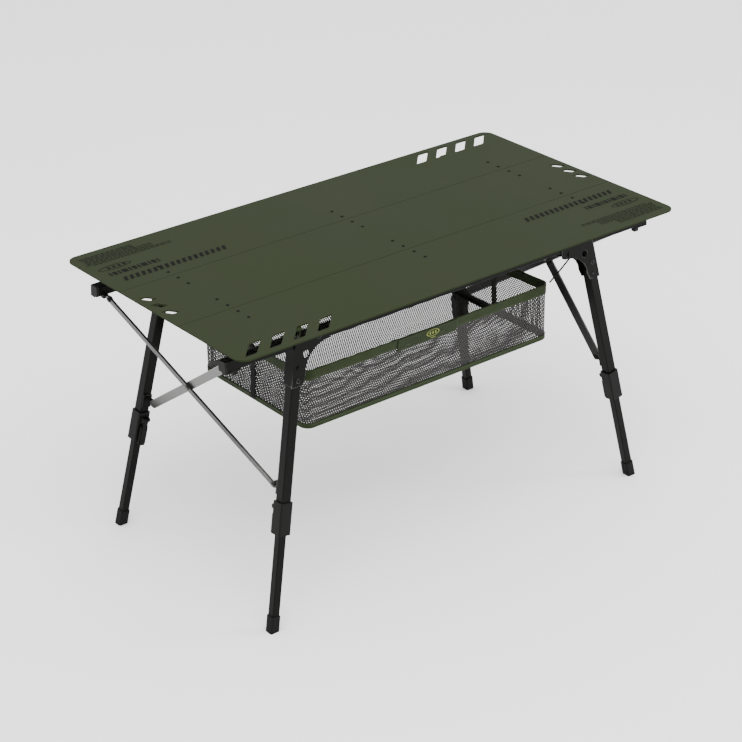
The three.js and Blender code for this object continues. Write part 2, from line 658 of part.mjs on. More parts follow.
const table = new THREE.Group();
table.name = "folding_camp_table";

const add = (name, geometry, colour) => {
  const mesh = new THREE.Mesh(bare(geometry), new THREE.MeshStandardMaterial({ color: COLOURS[colour] }));
  mesh.geometry.computeVertexNormals();
  mesh.name = name;
  table.add(mesh);
};

add("panel_middle", middlePanel(), "olive");
add("panel_front", outerPanel(-1), "olive");
add("panel_rear", outerPanel(1), "olive");

for (const [sideName, side] of Object.entries(SIDES)) {
  add(`rail_${sideName}`, railBody(side), "black");
  HINGE.xs.forEach((x, i) => {
    add(`hinge_pin_${sideName}_${["left", "middle", "right"][i]}`, hingePin(x, side), "steel");
  });
  for (const [endName, end] of Object.entries(ENDS)) {
    const where = `${sideName}_${endName}`;
    add(`rail_cap_${where}`, endCap(end, side), "rubber");
    add(`leg_bracket_${where}`, legBracket(end, side), "black");
    add(`leg_outer_${where}`, outerLeg(end, side), "black");
    add(`leg_inner_${where}`, innerLeg(end, side), "black");
    add(`foot_${where}`, foot(end, side), "rubber");
    add(`collar_${where}`, collar(end, side), "rubber");
    add(`lever_${where}`, lever(end, side), "rubber");
    add(`clevis_${where}`, clevis(end, side), "black");
    add(`swivel_${where}`, swivel(end, side), "rubber");
    add(`brace_bar_to_${where}`, bar(end, side), "gunmetal");
    add(`tray_cord_${where}`, trayCord(end, side), "webbing");
  }
}

for (const [endName, end] of Object.entries(ENDS)) {
  add(`brace_rivet_${endName}`, braceRivet(end), "steel");
}

add("tray_net", trayNet(), "net");
add("tray_binding", trayBinding(), "binding");

export default table;
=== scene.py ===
import logging
import math
from dataclasses import dataclass, field
from enum import Enum

import bpy
import numpy as np
from mathutils import Matrix, Vector


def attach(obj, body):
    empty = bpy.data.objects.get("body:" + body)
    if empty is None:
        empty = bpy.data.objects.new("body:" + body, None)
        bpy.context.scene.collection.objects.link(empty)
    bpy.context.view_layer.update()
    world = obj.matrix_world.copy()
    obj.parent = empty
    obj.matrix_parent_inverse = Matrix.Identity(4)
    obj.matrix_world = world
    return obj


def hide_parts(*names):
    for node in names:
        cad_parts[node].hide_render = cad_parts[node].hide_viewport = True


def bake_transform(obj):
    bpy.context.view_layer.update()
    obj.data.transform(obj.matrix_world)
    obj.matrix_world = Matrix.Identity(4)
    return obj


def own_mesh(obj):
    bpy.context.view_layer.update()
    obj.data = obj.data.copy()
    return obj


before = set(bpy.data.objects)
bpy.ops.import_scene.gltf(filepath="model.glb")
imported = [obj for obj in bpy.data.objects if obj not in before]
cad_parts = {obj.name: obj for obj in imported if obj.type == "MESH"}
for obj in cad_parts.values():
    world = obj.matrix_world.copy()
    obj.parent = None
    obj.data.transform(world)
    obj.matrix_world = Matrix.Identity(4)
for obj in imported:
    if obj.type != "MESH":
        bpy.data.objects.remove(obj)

log = logging.getLogger("camp_table")
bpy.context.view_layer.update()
Colour = tuple[float, float, float]
TAU = 2 * math.pi


class Side(Enum):
    """The long sides of the table."""

    FRONT = -1
    REAR = 1

    @property
    def label(self) -> str:
        """The side's word in the names of pieces."""
        return self.name.lower()


class End(Enum):
    """The short ends of the table."""

    LEFT = -1
    RIGHT = 1

    @property
    def label(self) -> str:
        """The end's word in the names of pieces."""
        return self.name.lower()


class Slot(Enum):
    """The record's material slots, by name."""

    SHEET = "olive_sheet"
    NET = "net"
    BINDING = "olive_binding"
    CORD = "black_cord"


# ---- meshes --------------------------------------------------------------------------------


def mesh_object(name: str, points: np.ndarray, faces: np.ndarray, uv: np.ndarray | None = None,
                smooth: bool = True) -> bpy.types.Object:
    """Makes an object from whole arrays.

    Args:
        name: The piece's name.
        points: Vertices, n by 3, in metres.
        faces: Vertex numbers, m by 3 or m by 4.
        uv: One pair for each corner of each face, in metres on the cloth.
        smooth: Whether the faces are shaded smooth.

    Returns:
        The new object, linked to the scene, at the origin.
    """
    mesh = bpy.data.meshes.new(name)
    mesh.from_pydata(points.reshape(-1, 3).tolist(), [], faces.tolist())
    if uv is not None:
        layer = mesh.uv_layers.new(name="UVMap")
        layer.data.foreach_set("uv", uv.astype(np.float32).ravel())
    mesh.polygons.foreach_set("use_smooth", np.full(len(faces), smooth))
    mesh.update()
    piece = bpy.data.objects.new(name, mesh)
    bpy.context.scene.collection.objects.link(piece)
    return piece


def surface(name: str, points: np.ndarray, uv: np.ndarray, closed: bool = False) -> bpy.types.Object:
    """Joins a grid of points into a surface of four-sided faces.

    Args:
        name: The piece's name.
        points: The grid, rows by columns by 3.
        uv: The cloth's own coordinates, rows by columns by 2, with one more column if closed.
        closed: Whether the last column joins the first.

    Returns:
        The new object.
    """
    rows, cols = points.shape[:2]
    i, j = np.meshgrid(np.arange(rows - 1), np.arange(cols if closed else cols - 1), indexing="ij")
    k = (j + 1) % cols
    faces = np.stack([i * cols + j, i * cols + k, (i + 1) * cols + k, (i + 1) * cols + j], -1)
    corners = np.stack([uv[i, j], uv[i, j + 1], uv[i + 1, j + 1], uv[i + 1, j]], 2)
    return mesh_object(name, points, faces.reshape(-1, 4), corners.reshape(-1, 2))


def thicken(piece: bpy.types.Object, thickness: float, offset: float = 0.0) -> bpy.types.Object:
    """Gives a sheet its thickness with a Solidify modifier; offset is from -1, inside, to 1, outside."""
    solid = piece.modifiers.new("thickness", "SOLIDIFY")
    solid.thickness = thickness
    solid.offset = offset
    return piece


def tube(name: str, path: np.ndarray, radius: float, sides: int = 12) -> bpy.types.Object:
    """Carries a circle along a path, and closes both ends with a low dome.

    Each ring lies in the plane square to the path there: centre + radius (cos a * side + sin a * up). The
    two end rings are drawn in to a tenth of the radius, a third of a radius further on.

    Args:
        name: The piece's name.
        path: The centres of the rings, n by 3.
        radius: The tube's radius.
        sides: Points on each ring.

    Returns:
        The new object.
    """
    tangent = np.gradient(path, axis=0)
    tangent /= np.linalg.norm(tangent, axis=1, keepdims=True)
    side = np.cross(tangent, [0.0, 0.0, 1.0])
    side /= np.linalg.norm(side, axis=1, keepdims=True)
    up = np.cross(side, tangent)
    centres = np.vstack([path[:1] - tangent[:1] * radius / 3, path, path[-1:] + tangent[-1:] * radius / 3])
    radii = np.full(len(centres), radius)
    radii[[0, -1]] = radius / 10
    side, up = (np.vstack([a[:1], a, a[-1:]]) for a in (side, up))
    angle = np.arange(sides) * TAU / sides
    ring = np.cos(angle)[None, :, None] * side[:, None] + np.sin(angle)[None, :, None] * up[:, None]
    points = centres[:, None] + ring * radii[:, None, None]
    run = np.concatenate([[0.0], np.cumsum(np.linalg.norm(np.diff(centres, axis=0), axis=1))])
    around = np.linspace(0, TAU * radius, sides + 1)
    uv = np.stack(np.broadcast_arrays(around[None, :], run[:, None]), -1)
    return surface(name, points, uv, closed=True)


def merge(name: str, parts: list[bpy.types.Object]) -> bpy.types.Object:
    """Joins several new objects into one piece that carries the given name."""
    points, faces, uvs, start = [], [], [], 0
    for part in parts:
        mesh = part.data
        co = np.empty(len(mesh.vertices) * 3, np.float32)
        mesh.vertices.foreach_get("co", co)
        index = np.empty(len(mesh.loops), np.int32)
        mesh.loops.foreach_get("vertex_index", index)
        uv = np.empty(len(mesh.loops) * 2, np.float32)
        mesh.uv_layers[0].data.foreach_get("uv", uv)
        points.append(co.reshape(-1, 3))
        faces.append(index.reshape(-1, 4) + start)
        uvs.append(uv.reshape(-1, 2))
        start += len(mesh.vertices)
        bpy.data.objects.remove(part)
    return mesh_object(name, np.vstack(points), np.vstack(faces), np.vstack(uvs))


def dress(piece: bpy.types.Object, material: bpy.types.Material) -> bpy.types.Object:
    """Puts one material on a piece, in place of whatever it had."""
    if piece.material_slots:
        for place in piece.material_slots:
            place.material = material
    else:
        piece.data.materials.append(material)
    return piece


# ---- shader wiring -------------------------------------------------------------------------


class Wiring:
    """A short hand for adding nodes to one node tree and joining them."""

    def __init__(self, tree: bpy.types.NodeTree) -> None:
        """Starts on an existing tree."""
        self.tree = tree

    def node(self, kind: str, **settings: object) -> bpy.types.Node:
        """Adds one node and sets its properties."""
        made = self.tree.nodes.new(kind)
        for key, value in settings.items():
            setattr(made, key, value)
        return made

    def feed(self, socket: bpy.types.NodeSocket, value: object) -> None:
        """Joins an output to a socket, or sets the socket's own value."""
        if isinstance(value, bpy.types.NodeSocket):
            self.tree.links.new(value, socket)
        elif value is not None:
            socket.default_value = value

    def sum(self, operation: str, *values: object, clamp: bool = False) -> bpy.types.NodeSocket:
        """Adds a Math node and returns its result."""
        made = self.node("ShaderNodeMath", operation=operation, use_clamp=clamp)
        for socket, value in zip(made.inputs, values):
            self.feed(socket, value)
        return made.outputs[0]

    def spread(self, value: object, low: float, high: float, to_low: float = 0.0,
               to_high: float = 1.0) -> bpy.types.NodeSocket:
        """Carries a value smoothly from one range to another, and holds it at the ends."""
        made = self.node("ShaderNodeMapRange", interpolation_type="SMOOTHSTEP")
        for name, number in (("From Min", low), ("From Max", high), ("To Min", to_low), ("To Max", to_high)):
            made.inputs[name].default_value = number
        self.feed(made.inputs["Value"], value)
        return made.outputs["Result"]

    def blend(self, share: object, a: object, b: object) -> bpy.types.NodeSocket:
        """Mixes colour a into colour b by a share from 0 to 1."""
        made = self.node("ShaderNodeMix", data_type="RGBA")
        self.feed(made.inputs[0], share)
        self.feed(made.inputs[6], a)
        self.feed(made.inputs[7], b)
        return made.outputs[2]

    def noise(self, vector: object, scale: object, detail: float = 3.0) -> bpy.types.NodeSocket:
        """Adds a Noise texture and returns its value."""
        made = self.node("ShaderNodeTexNoise")
        self.feed(made.inputs["Vector"], vector)
        self.feed(made.inputs["Scale"], scale)
        made.inputs["Detail"].default_value = detail
        return made.outputs["Fac"]

    def use(self, group: bpy.types.NodeTree, **values: object) -> bpy.types.Node:
        """Places a node group; a value's name is the socket's, with _ for a space."""
        made = self.node("ShaderNodeGroup", node_tree=group)
        for key, value in values.items():
            self.feed(made.inputs[key.replace("_", " ")], value)
        return made


def new_group(name: str, inputs: dict[str, float], outputs: tuple[str, ...]) -> tuple[Wiring, dict, dict]:
    """Starts a shader node group with named number sockets.

    Args:
        name: The group's name.
        inputs: Each input's name and usual value.
        outputs: The outputs' names.

    Returns:
        The wiring, the inputs inside the group by name, and the sockets that its outputs are fed through.
    """
    tree = bpy.data.node_groups.new(name, "ShaderNodeTree")
    for key, value in inputs.items():
        socket = tree.interface.new_socket(name=key, in_out="INPUT", socket_type="NodeSocketFloat")
        socket.default_value = value
    for key in outputs:
        tree.interface.new_socket(name=key, in_out="OUTPUT", socket_type="NodeSocketFloat")
    wiring = Wiring(tree)
    source, sink = wiring.node("NodeGroupInput"), wiring.node("NodeGroupOutput")
    return wiring, {s.name: s for s in source.outputs}, {s.name: s for s in sink.inputs}


def grain_group() -> bpy.types.NodeTree:
    """Grain of a sprayed or moulded skin: fine noise for height, broad noise for tone, rare dust specks."""
    w, given, out = new_group("skin_grain", {"Fine": 900.0, "Broad": 6.0}, ("Height", "Tone", "Speck"))
    place = w.node("ShaderNodeTexCoord").outputs["Object"]
    fine = w.noise(place, given["Fine"], 2.0)
    broad = w.noise(place, given["Broad"], 4.0)
    speck = w.noise(place, w.sum("MULTIPLY", given["Fine"], 0.35), 1.0)
    w.feed(out["Height"], fine)
    w.feed(out["Tone"], w.spread(broad, 0.3, 0.7))
    w.feed(out["Speck"], w.spread(speck, 0.69, 0.78))
    return w.tree


def edge_group() -> bpy.types.NodeTree:
    """Mask of rubbed edges, also used as a painted highlight along edges: where a rounded-off normal leaves
    the true one, broken up by a noise.
    """
    w, given, out = new_group("worn_edges", {"Radius": 0.0012, "Patches": 30.0}, ("Mask",))
    place = w.node("ShaderNodeTexCoord").outputs["Object"]
    round_edge = w.node("ShaderNodeBevel", samples=4)
    w.feed(round_edge.inputs["Radius"], given["Radius"])
    face = w.node("ShaderNodeNewGeometry")
    dot = w.node("ShaderNodeVectorMath", operation="DOT_PRODUCT")
    w.feed(dot.inputs[0], round_edge.outputs["Normal"])
    w.feed(dot.inputs[1], face.outputs["Normal"])
    sharp = w.spread(dot.outputs["Value"], 0.97, 0.8)
    patch = w.spread(w.noise(place, given["Patches"], 5.0), 0.42, 0.62)
    w.feed(out["Mask"], w.sum("MULTIPLY", sharp, patch))
    return w.tree


def weave_group() -> bpy.types.NodeTree:
    """Plain weave on the cloth's own coordinates: warp and weft ridges that pass over each other in turn."""
    w, given, out = new_group("plain_weave", {"Pitch": 0.0008}, ("Height", "Tone"))
    uv = w.node("ShaderNodeSeparateXYZ")
    w.feed(uv.inputs[0], w.node("ShaderNodeTexCoord").outputs["UV"])
    turns = w.sum("DIVIDE", math.pi, given["Pitch"])
    a = w.sum("SINE", w.sum("MULTIPLY", uv.outputs["X"], turns))
    b = w.sum("SINE", w.sum("MULTIPLY", uv.outputs["Y"], turns))
    over = w.spread(w.sum("MULTIPLY", a, b), -0.3, 0.3)
    ridges = w.sum("MULTIPLY", w.sum("ABSOLUTE", a), w.sum("ABSOLUTE", b))
    w.feed(out["Height"], w.sum("MULTIPLY", ridges, w.sum("MULTIPLY_ADD", over, 0.4, 0.6)))
    w.feed(out["Tone"], over)
    return w.tree


def net_group() -> bpy.types.NodeTree:
    """Open knitted net: rows of rounded holes, each row set half a cell along from the last.

    The hole is where the distance from a cell's middle is under the Hole share; the thread is the rest.
    """
    w, given, out = new_group("open_net", {"Cell": 0.004, "Hole": 0.4}, ("Thread", "Height"))
    uv = w.node("ShaderNodeSeparateXYZ")
    w.feed(uv.inputs[0], w.node("ShaderNodeTexCoord").outputs["UV"])
    x = w.sum("DIVIDE", uv.outputs["X"], given["Cell"])
    y = w.sum("DIVIDE", uv.outputs["Y"], w.sum("MULTIPLY", given["Cell"], 0.87))
    shift = w.sum("MULTIPLY", w.sum("MODULO", w.sum("FLOOR", w.sum("ADD", y, 4000.0)), 2.0), 0.5)
    dx = w.sum("SUBTRACT", w.sum("FRACT", w.sum("ADD", x, shift)), 0.5)
    dy = w.sum("MULTIPLY", w.sum("SUBTRACT", w.sum("FRACT", y), 0.5), 0.87)
    away = w.sum("SQRT", w.sum("ADD", w.sum("MULTIPLY", dx, dx), w.sum("MULTIPLY", dy, dy)))
    rim = w.sum("SUBTRACT", away, given["Hole"])
    w.feed(out["Thread"], w.spread(rim, -0.03, 0.03))
    w.feed(out["Height"], w.spread(rim, 0.0, 0.16))
    return w.tree


def stitch_group() -> bpy.types.NodeTree:
    """Two rows of lock stitches, measured in from the two borders of a band of the given width."""
    w, given, out = new_group("edge_stitches", {"Width": 0.02, "Inset": 0.003, "Pitch": 0.0035}, ("Mask",))
    uv = w.node("ShaderNodeSeparateXYZ")
    w.feed(uv.inputs[0], w.node("ShaderNodeTexCoord").outputs["UV"])
    half = w.sum("MULTIPLY", given["Width"], 0.5)
    middle = w.sum("ABSOLUTE", w.sum("SUBTRACT", uv.outputs["Y"], half))
    row = w.sum("ABSOLUTE", w.sum("SUBTRACT", middle, w.sum("SUBTRACT", half, given["Inset"])))
    dash = w.sum("FRACT", w.sum("DIVIDE", uv.outputs["X"], given["Pitch"]))
    on = w.spread(dash, 0.22, 0.3)
    w.feed(out["Mask"], w.sum("MULTIPLY", w.spread(row, 0.0007, 0.0004), on))
    return w.tree


class Groups:
    """The shader node groups, each built once and used by several finishes."""

    grain: bpy.types.NodeTree
    edges: bpy.types.NodeTree
    weave: bpy.types.NodeTree
    net: bpy.types.NodeTree
    stitches: bpy.types.NodeTree

    @classmethod
    def build(cls) -> None:
        """Builds all of them."""
        cls.grain = grain_group()
        cls.edges = edge_group()
        cls.weave = weave_group()
        cls.net = net_group()
        cls.stitches = stitch_group()


def new_material(name: str) -> tuple[bpy.types.Material, Wiring, bpy.types.Node]:
    """Starts a material and returns it with its wiring and its Principled shader."""
    material = bpy.data.materials.new(name)
    material.use_nodes = True
    return material, Wiring(material.node_tree), material.node_tree.nodes["Principled BSDF"]


def shade(colour: Colour, factor: float) -> tuple[float, float, float, float]:
    """A colour made lighter or darker, with full alpha."""
    return (*(min(1.0, c * factor) for c in colour), 1.0)


@dataclass(frozen=True)
class HardFinish:
    """Paint, plastic, rubber or metal: grain, uneven tone, dust specks and rubbed edges, which on the black
    coat are also a painted edge highlight.
    """

    name: str
    colour: Colour
    roughness: float
    metallic: float = 0.0
    specular: float = 0.5
    fine: float = 900.0
    broad: float = 6.0
    depth: float = 0.00004
    bump: float = 0.35
    tone: float = 0.14
    # Edge mask strength and colour: rubbed edges, and on the black coat also a painted highlight.
    edge_wear_and_highlight: float = 0.0
    worn: Colour = (0.3, 0.3, 0.29)
    radius: float = 0.0012

    def build(self) -> bpy.types.Material:
        """Makes the material.

        Returns:
            The finished material.
        """
        material, w, shader = new_material(self.name)
        grain = w.use(Groups.grain, Fine=self.fine, Broad=self.broad)
        dark, light = shade(self.colour, 1 - self.tone), shade(self.colour, 1 + self.tone)
        plain = w.blend(grain.outputs["Tone"], dark, light)
        colour = w.blend(w.sum("MULTIPLY", grain.outputs["Speck"], 0.25), plain, shade(self.colour, 2.2))
        rough = w.sum("MULTIPLY_ADD", grain.outputs["Tone"], 0.1, self.roughness - 0.05)
        # Lighter rubbed edges, which on the black coat are also a painted highlight along legs and rails.
        if self.edge_wear_and_highlight > 0:
            edges = w.use(Groups.edges, Radius=self.radius)
            mask = w.sum("MULTIPLY", edges.outputs["Mask"], self.edge_wear_and_highlight)
            colour = w.blend(mask, colour, (*self.worn, 1.0))
            rough = w.sum("SUBTRACT", rough, w.sum("MULTIPLY", mask, 0.12), clamp=True)
        w.feed(shader.inputs["Base Color"], colour)
        w.feed(shader.inputs["Roughness"], rough)
        shader.inputs["Metallic"].default_value = self.metallic
        shader.inputs["Specular IOR Level"].default_value = self.specular
        bump = w.node("ShaderNodeBump")
        bump.inputs["Strength"].default_value = self.bump
        bump.inputs["Distance"].default_value = self.depth
        w.feed(bump.inputs["Height"], grain.outputs["Height"])
        w.feed(shader.inputs["Normal"], bump.outputs["Normal"])
        return material


@dataclass(frozen=True)
class WovenFinish:
    """Webbing, binding tape or braid: a plain weave, uneven dye, and stitch rows where the band has them."""

    name: str
    colour: Colour
    pitch: float = 0.0011
    roughness: float = 0.85
    sheen: float = 0.06
    stitch_width: float = 0.0
    stitch_colour: Colour = (0.022, 0.032, 0.011)

    def build(self) -> bpy.types.Material:
        """Makes the material.

        Returns:
            The finished material.
        """
        material, w, shader = new_material(self.name)
        weave = w.use(Groups.weave, Pitch=self.pitch)
        grain = w.use(Groups.grain, Fine=2500.0, Broad=22.0)
        dyed = w.blend(grain.outputs["Tone"], shade(self.colour, 0.82), shade(self.colour, 1.18))
        colour = w.blend(weave.outputs["Tone"], dyed, shade(self.colour, 1.35))
        height = weave.outputs["Height"]
        if self.stitch_width > 0:
            rows = w.use(Groups.stitches, Width=self.stitch_width)
            colour = w.blend(rows.outputs["Mask"], colour, (*self.stitch_colour, 1.0))
            height = w.sum("ADD", height, rows.outputs["Mask"])
        w.feed(shader.inputs["Base Color"], colour)
        rough = w.sum("MULTIPLY_ADD", weave.outputs["Tone"], 0.08, self.roughness)
        w.feed(shader.inputs["Roughness"], rough)
        shader.inputs["Sheen Weight"].default_value = self.sheen
        shader.inputs["Specular IOR Level"].default_value = 0.15
        bump = w.node("ShaderNodeBump")
        bump.inputs["Strength"].default_value = 0.6
        bump.inputs["Distance"].default_value = 0.0003
        w.feed(bump.inputs["Height"], height)
        w.feed(shader.inputs["Normal"], bump.outputs["Normal"])
        return material


@dataclass(frozen=True)
class NetFinish:
    """Open net: thread with rounded holes that are really open."""

    name: str = "open_net"
    colour: Colour = (0.0062, 0.0052, 0.0042)
    cell: float = 0.0048
    hole: float = 0.25
    roughness: float = 0.7

    def build(self) -> bpy.types.Material:
        """Makes the material.

        Returns:
            The finished material.
        """
        material, w, shader = new_material(self.name)
        net = w.use(Groups.net, Cell=self.cell, Hole=self.hole)
        grain = w.use(Groups.grain, Fine=2500.0, Broad=14.0)
        w.feed(shader.inputs["Base Color"],
               w.blend(grain.outputs["Tone"], shade(self.colour, 0.8), shade(self.colour, 1.25)))
        w.feed(shader.inputs["Roughness"], w.sum("MULTIPLY_ADD", grain.outputs["Tone"], 0.1, self.roughness))
        w.feed(shader.inputs["Alpha"], net.outputs["Thread"])
        bump = w.node("ShaderNodeBump")
        bump.inputs["Strength"].default_value = 0.5
        bump.inputs["Distance"].default_value = 0.0004
        w.feed(bump.inputs["Height"], net.outputs["Height"])
        w.feed(shader.inputs["Normal"], bump.outputs["Normal"])
        return material


OLIVE_COAT = HardFinish("olive_coat", (0.0115, 0.0168, 0.0054), 0.62, specular=0.055, fine=1400.0, broad=3.0,
                        depth=0.00003, bump=0.25, tone=0.09, edge_wear_and_highlight=0.3, worn=(0.03, 0.04, 0.018),
                        radius=0.0009)
# Its strong light edges are partly rubbing and partly a painted highlight, the bright line on the legs' near
# edges.
BLACK_COAT = HardFinish("black_coat", (0.0014, 0.0015, 0.0012), 0.36, specular=0.07, fine=1400.0, broad=8.0,
                        depth=0.00003, tone=0.2, edge_wear_and_highlight=0.9, worn=(0.24, 0.24, 0.23), radius=0.0011)
BLACK_PLASTIC = HardFinish("black_plastic", (0.0022, 0.0024, 0.002), 0.5, specular=0.1, fine=2200.0,
                           broad=20.0, depth=0.00008, bump=0.4, edge_wear_and_highlight=0.4, worn=(0.04, 0.042, 0.038),
                           radius=0.0009)
FOOT_RUBBER = HardFinish("foot_rubber", (0.003, 0.0032, 0.003), 0.72, specular=0.1, fine=1300.0, broad=26.0,
                         depth=0.00012, bump=0.5, tone=0.2, edge_wear_and_highlight=0.35, worn=(0.03, 0.03, 0.028))
# Brace bar finishes. The dark one is the black of three bars, and on the mirror twin of the grey bar at the
# right end it is painted shade, where that bar lies in shade under the top.
BAR_DARK_AND_SHADED = HardFinish("bar_metal", (0.016, 0.016, 0.0155), 0.34, metallic=0.55, specular=0.3, fine=1800.0,
                       broad=12.0, depth=0.00003, tone=0.15, edge_wear_and_highlight=0.7, worn=(0.32, 0.32, 0.31),
                       radius=0.0008)
BAR_GREY = HardFinish("bar_grey", (0.09, 0.09, 0.088), 0.34, metallic=0.9, fine=1800.0, broad=12.0,
                      depth=0.00003, tone=0.14, edge_wear_and_highlight=0.5, worn=(0.5, 0.5, 0.48), radius=0.0007)
PIN_STEEL = HardFinish("pin_steel", (0.2, 0.2, 0.19), 0.36, metallic=1.0, fine=2600.0, broad=40.0,
                       depth=0.00003, tone=0.15)
INK = HardFinish("dark_ink", (0.0012, 0.0016, 0.0008), 0.65, specular=0.04, fine=900.0, broad=160.0,
                 depth=0.00002, tone=0.4)
RIVET_HEAD = HardFinish("rivet_head", (0.0015, 0.002, 0.0012), 0.6, specular=0.06, fine=2400.0, broad=60.0,
                        depth=0.00004, edge_wear_and_highlight=0.3, worn=(0.02, 0.022, 0.018), radius=0.0005)
OLIVE_BINDING = WovenFinish("olive_binding", (0.0095, 0.016, 0.0036), stitch_width=0.0426)
OLIVE_HEM = WovenFinish("olive_hem", (0.0095, 0.016, 0.0036), stitch_width=0.017)
OLIVE_PATCH = WovenFinish("olive_patch", (0.0085, 0.0145, 0.0032), pitch=0.0007, stitch_width=0.027)
PATCH_THREAD = WovenFinish("patch_thread", (0.15, 0.175, 0.04), pitch=0.0009, sheen=0.1)
BLACK_WEBBING = WovenFinish("black_webbing", (0.0018, 0.0018, 0.0016), pitch=0.0014, sheen=0.02)
BLACK_BRAID = WovenFinish("black_braid", (0.0025, 0.0025, 0.0022), pitch=0.0009, sheen=0.03)


# ---- camera, floor and light ---------------------------------------------------------------


@dataclass
class Studio:
    """A pale floor, soft white light all round, two soft boxes, and the camera."""

    azimuth: float = -38.67
    elevation: float = 26.86
    roll: float = -0.55
    distance: float = 4.33575
    target: tuple[float, float, float] = (0.00207, 0.02592, 0.272)
    lens: float = 108.14
    sky: float = 2.1
    key_place: tuple[float, float, float] = (-1.2, -1.6, 4.2)
    key_size: float = 3.0
    key_watts: float = 190.0
    edge_place: tuple[float, float, float] = (3.4, -2.6, 1.6)
    edge_size: float = 1.2
    edge_watts: float = 90.0
    lamp_aim: tuple[float, float, float] = (0.0, 0.0, 0.4)
    floor_half: float = 30.0

    def camera(self) -> None:
        """Places the camera on its sphere round the target; back = (sin a cos e, -cos a cos e, sin e)."""
        a, e, r = (math.radians(x) for x in (self.azimuth, self.elevation, self.roll))
        back = Vector((math.sin(a) * math.cos(e), -math.cos(a) * math.cos(e), math.sin(e)))
        right = (-back).cross(Vector((0, 0, 1))).normalized()
        up = right.cross(-back)
        turned = (right * math.cos(r) + up * math.sin(r), up * math.cos(r) - right * math.sin(r), back)
        place = Matrix(turned).transposed().to_4x4()
        place.translation = Vector(self.target) + back * self.distance
        data = bpy.data.cameras.new("camera")
        data.lens = self.lens
        data.sensor_width = 36.0
        data.clip_start, data.clip_end = 0.05, 60.0
        view = bpy.data.objects.new("camera", data)
        view.matrix_world = place
        bpy.context.scene.collection.objects.link(view)
        bpy.context.scene.camera = view

    def floor(self) -> None:
        """A wide, nearly white floor with a faint unevenness."""
        half = self.floor_half
        corners = np.array([[-half, -half, 0], [half, -half, 0], [half, half, 0], [-half, half, 0]], float)
        ground = mesh_object("floor", corners, np.array([[0, 1, 2, 3]]), smooth=False)
        paper = HardFinish("floor_paper", (0.86, 0.86, 0.86), 0.9, fine=300.0, broad=0.6, tone=0.01).build()
        dress(ground, paper)

    def box_light(self, name: str, place: tuple[float, float, float], size: float, watts: float) -> None:
        """Adds one square soft box that faces the table's middle."""
        data = bpy.data.lights.new(name, "AREA")
        data.size = size
        data.energy = watts
        lamp = bpy.data.objects.new(name, data)
        lamp.location = place
        aim = Vector(self.lamp_aim) - Vector(place)
        lamp.rotation_euler = aim.to_track_quat("-Z", "Y").to_euler()
        bpy.context.scene.collection.objects.link(lamp)

    def light(self) -> None:
        """A white sky, a large box above, and a small one at the right for the highlights on the legs."""
        world = bpy.data.worlds.new("studio")
        world.use_nodes = True
        background = world.node_tree.nodes["Background"]
        background.inputs["Color"].default_value = (1, 1, 1, 1)
        background.inputs["Strength"].default_value = self.sky
        bpy.context.scene.world = world
        self.box_light("key", self.key_place, self.key_size, self.key_watts)
        self.box_light("edge", self.edge_place, self.edge_size, self.edge_watts)

    def build(self) -> None:
        """Sets up the whole studio."""
        self.camera()
        self.floor()
        self.light()


# ---- the table's pieces --------------------------------------------------------------------


@dataclass
class Cords:
    """The four short cords from the tray's corners up to the round holes in the leg brackets."""

    radius: float = 0.0016
    corner: tuple[float, float, float] = (0.297, 0.159, 0.4395)
    hole: tuple[float, float, float] = (0.334, 0.18703, 0.50373)
    sag: float = 0.0015
    rings: int = 24

    def route(self, end: End, side: Side) -> np.ndarray:
        """The centre line: straight between the ends, with a sag of sag * 4 t (1 - t) at share t."""
        t = np.linspace(0, 1, self.rings)[:, None]
        mirror = np.array([end.value, side.value, 1.0])
        low, high = np.array(self.corner) * mirror, np.array(self.hole) * mirror
        line = low + (high - low) * t
        line[:, 2:] -= self.sag * 4 * t * (1 - t)
        return line

    def build(self, material: bpy.types.Material) -> None:
        """Makes and places the cords.

        Args:
            material: The braid.
        """
        for end in End:
            for side in Side:
                where = f"{side.label}_{end.label}"
                line = self.route(end, side)
                piece = dress(tube(f"cord_{where}", line, self.radius), material)
                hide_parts(f"tray_cord_{where}")
                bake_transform(piece)
                length = float(np.linalg.norm(np.diff(line, axis=0), axis=1).sum())
                log.info("cord %s, %.0f mm", where, length * 1000)


